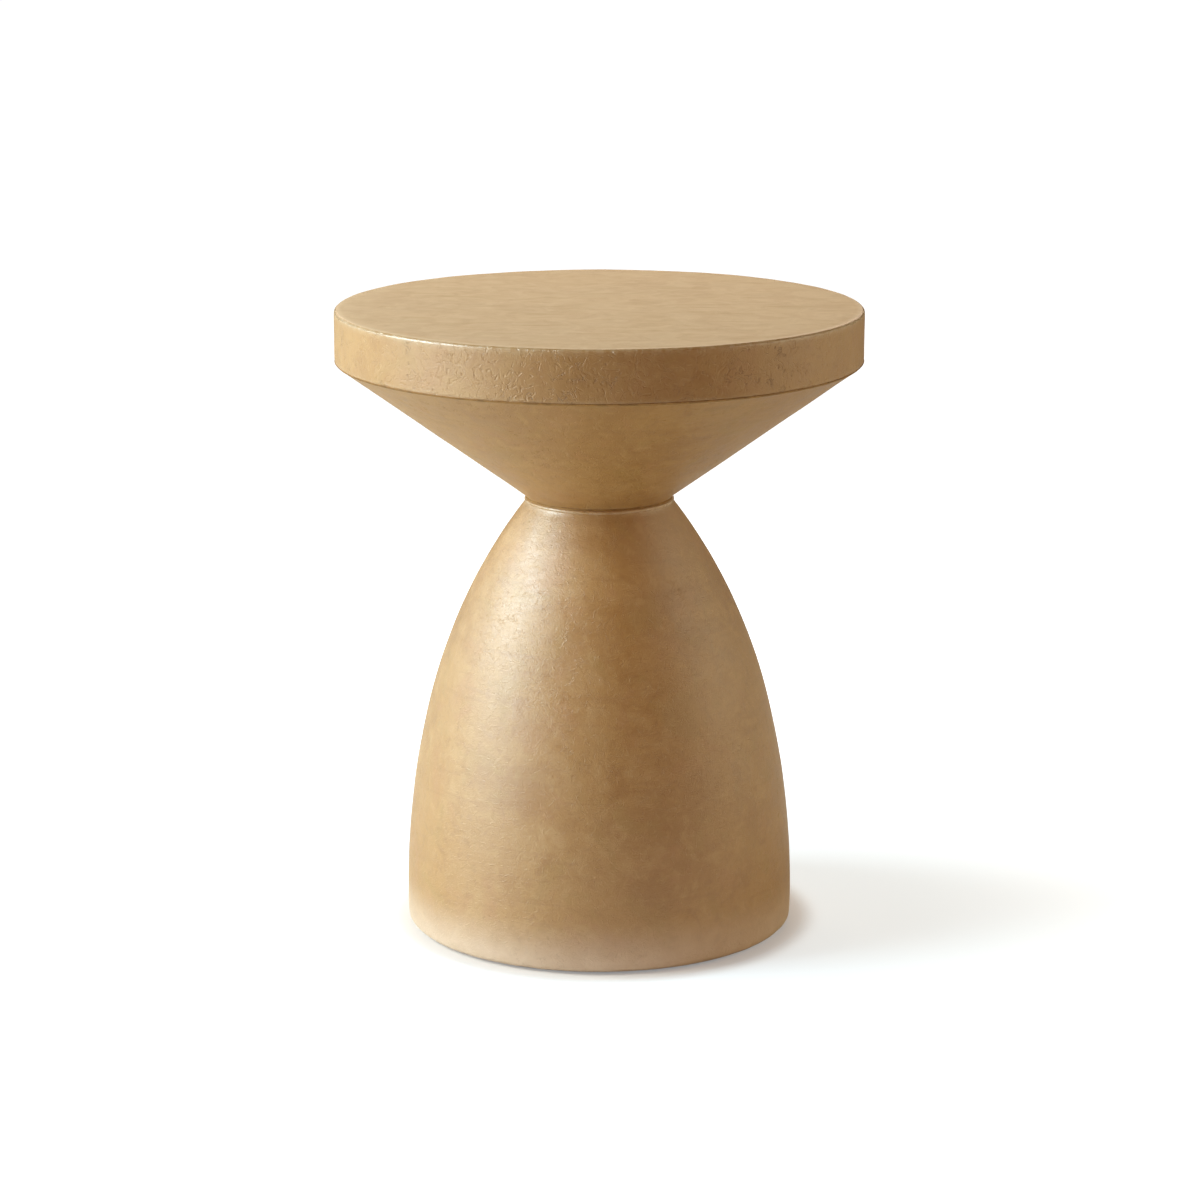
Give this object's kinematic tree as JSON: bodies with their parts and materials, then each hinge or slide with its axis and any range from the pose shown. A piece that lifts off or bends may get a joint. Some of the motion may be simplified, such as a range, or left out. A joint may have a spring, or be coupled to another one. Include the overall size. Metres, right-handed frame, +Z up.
{
  "type": "pedestal side table",
  "caption": "Round side table in tan cast concrete: a deep-rimmed disc on an inverted cone, standing on a bullet-shaped hollow base with levelling feet.",
  "frame": {"origin": "on the floor, under the middle of the table, with the levellers screwed right in", "axes": "+Z up along the table's axis; the picture is taken from -Y, with +X to its right"},
  "size_m": [0.457, 0.457, 0.548],
  "materials": {
    "cast_concrete": "satin",
    "adhesive_bed": "matte",
    "gasket_rubber": "matte",
    "zinc_steel": "satin",
    "insert_brass": "satin",
    "pad_nylon": "satin",
    "foot_felt": "matte"
  },
  "bodies": {
    "table": {"tabletop": "cast_concrete", "bedding_ring": "adhesive_bed", "upper_cone": "cast_concrete", "neck_gasket": "gasket_rubber", "base_shell": "cast_concrete", "crown_plug": "cast_concrete", "foot_ring": "cast_concrete", "locating_pins": "zinc_steel", "anchor_inserts": "insert_brass", "anchor_plate": "zinc_steel", "anchor_screws": "zinc_steel", "anchor_nut": "zinc_steel", "tie_rod": "zinc_steel", "crown_pad": "gasket_rubber", "crown_plate": "zinc_steel", "tie_washer": "zinc_steel", "tie_spring_washer": "zinc_steel", "tie_nut": "zinc_steel", "leveller_sockets": "insert_brass"},
    "leveller_foot_1": {"leveller_pad_1": "pad_nylon", "leveller_felt_1": "foot_felt"},
    "leveller_foot_2": {"leveller_pad_2": "pad_nylon", "leveller_felt_2": "foot_felt"},
    "leveller_foot_3": {"leveller_pad_3": "pad_nylon", "leveller_felt_3": "foot_felt"},
    "leveller_foot_4": {"leveller_pad_4": "pad_nylon", "leveller_felt_4": "foot_felt"},
    "leveller_screw_1": {"leveller_stem_1": "zinc_steel"},
    "leveller_screw_2": {"leveller_stem_2": "zinc_steel"},
    "leveller_screw_3": {"leveller_stem_3": "zinc_steel"},
    "leveller_screw_4": {"leveller_stem_4": "zinc_steel"}
  },
  "joints": [
    {"name": "leveller_1_lift", "type": "slide", "parent": "table", "child": "leveller_foot_1", "axis": [0, 0, -1], "range_m": [0, 0.006]},
    {"name": "leveller_2_lift", "type": "slide", "parent": "table", "child": "leveller_foot_2", "axis": [0, 0, -1], "range_m": [0, 0.006]},
    {"name": "leveller_3_lift", "type": "slide", "parent": "table", "child": "leveller_foot_3", "axis": [0, 0, -1], "range_m": [0, 0.006]},
    {"name": "leveller_4_lift", "type": "slide", "parent": "table", "child": "leveller_foot_4", "axis": [0, 0, -1], "range_m": [0, 0.006]},
    {"name": "leveller_1_turn", "type": "hinge", "parent": "leveller_foot_1", "child": "leveller_screw_1", "pos_m": [0.09691, 0.09691, 0], "axis": [0, 0, -1], "range_deg": [0, 1728]},
    {"name": "leveller_2_turn", "type": "hinge", "parent": "leveller_foot_2", "child": "leveller_screw_2", "pos_m": [-0.09691, 0.09691, 0], "axis": [0, 0, -1], "range_deg": [0, 1728]},
    {"name": "leveller_3_turn", "type": "hinge", "parent": "leveller_foot_3", "child": "leveller_screw_3", "pos_m": [-0.09691, -0.09691, 0], "axis": [0, 0, -1], "range_deg": [0, 1728]},
    {"name": "leveller_4_turn", "type": "hinge", "parent": "leveller_foot_4", "child": "leveller_screw_4", "pos_m": [0.09691, -0.09691, 0], "axis": [0, 0, -1], "range_deg": [0, 1728]}
  ],
  "couplings": [
    {"joint": "leveller_1_lift", "follows": "leveller_1_turn", "m_per_rad": 0.00019894},
    {"joint": "leveller_2_lift", "follows": "leveller_2_turn", "m_per_rad": 0.00019894},
    {"joint": "leveller_3_lift", "follows": "leveller_3_turn", "m_per_rad": 0.00019894},
    {"joint": "leveller_4_lift", "follows": "leveller_4_turn", "m_per_rad": 0.00019894}
  ]
}
